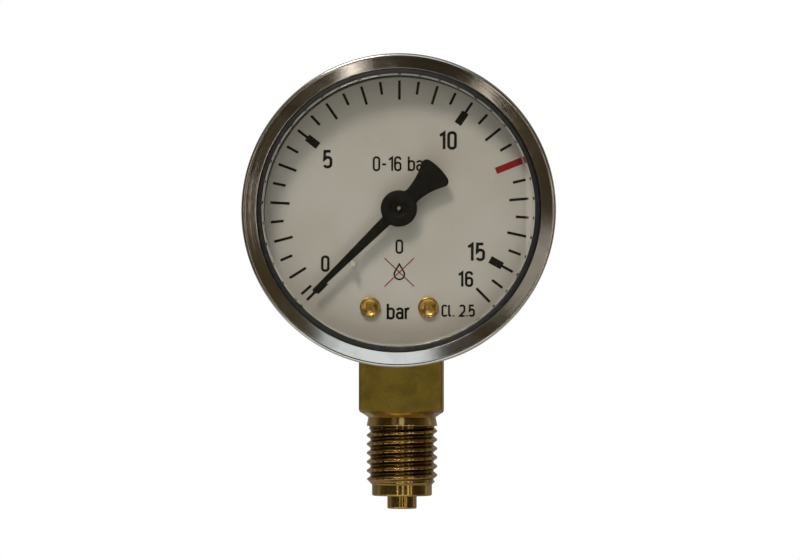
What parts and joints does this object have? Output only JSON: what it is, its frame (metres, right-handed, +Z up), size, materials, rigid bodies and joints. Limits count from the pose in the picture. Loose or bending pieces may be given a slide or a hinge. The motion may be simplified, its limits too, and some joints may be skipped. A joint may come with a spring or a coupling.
{
  "type": "pressure gauge",
  "caption": "Round dial pressure gauge with a chromed case, clear window, black pointer and a brass stem with wrench flats, threaded shank and spigot below.",
  "frame": {"origin": "on the stem axis, at the shoulder under the wrench square, where the shank begins", "axes": "+Z up the stem towards the case, -Y the way the dial faces, +X to the right as the dial is read"},
  "size_m": [0.0518, 0.0289, 0.0756],
  "materials": {
    "chrome_case": "bright chrome plate on drawn steel",
    "clear_window": "clear, polished",
    "black_rubber": "matt black",
    "dial_white": "matt white paint, printed black and red",
    "white_plastic": "moulded",
    "pointer_black": "satin black paint",
    "bright_brass": "turned, bright",
    "movement_brass": "stamped, brushed",
    "tube_bronze": "drawn tube, soldered ends",
    "spring_bronze": "rolled strip",
    "movement_steel": "turned",
    "screw_steel": "zinc-plated",
    "stem_brass": "turned and sawn brass, dulled"
  },
  "bodies": {
    "root": {"stem": "stem_brass", "restrictor": "bright_brass", "case": "chrome_case", "blowout_plug": "black_rubber", "case_screws": "screw_steel", "window": "clear_window", "window_seal": "black_rubber", "dial": "dial_white", "dial_screws": "bright_brass", "dial_posts": "movement_brass", "stop_pin": "white_plastic", "back_plate": "movement_brass", "front_plate": "movement_brass", "pillars": "movement_brass", "pillar_screws": "movement_steel", "movement_screws": "movement_steel", "hairspring": "spring_bronze", "hairspring_stud": "movement_brass", "bourdon_tube": "tube_bronze"},
    "pointer_group": {"pinion_arbor": "movement_steel", "hairspring_collet": "movement_brass", "pointer_bushing": "movement_brass", "pointer": "pointer_black"},
    "sector_group": {"sector_gear": "movement_brass", "sector_arbor": "movement_steel", "link_pin_lower": "movement_steel"},
    "tube_end": {"tube_tip": "movement_brass", "link_pin_upper": "movement_steel"},
    "link_bar": {"link": "movement_brass"}
  },
  "joints": [
    {"name": "pointer_turn", "type": "hinge", "parent": "root", "child": "pointer_group", "pos_m": [0, 0, 0.03455], "axis": [0, 1, 0], "range_deg": [0, 270], "stiffness_Nm_per_rad": 0.00002, "springref_deg": -20.05, "deforming": ["hairspring"]},
    {"name": "sector_swing", "type": "hinge", "parent": "root", "child": "sector_group", "pos_m": [0.00929, 0, 0.02619], "axis": [0, -1, 0], "range_deg": [0, 30]},
    {"name": "tip_flex", "type": "hinge", "parent": "root", "child": "tube_end", "pos_m": [-0.0014, 0, 0.04083], "axis": [0, -1, 0], "range_deg": [0, 8.5], "deforming": ["bourdon_tube"]},
    {"name": "link_swing", "type": "hinge", "parent": "tube_end", "child": "link_bar", "pos_m": [0.01506, 0, 0.03047], "axis": [0, 1, 0], "range_deg": [0, 9.03]}
  ],
  "couplings": [
    {"joint": "sector_swing", "follows": "pointer_turn", "ratio": 0.11111},
    {"joint": "tip_flex", "follows": "pointer_turn", "ratio": 0.03148},
    {"joint": "link_swing", "follows": "pointer_turn", "ratio": 0.033433}
  ]
}
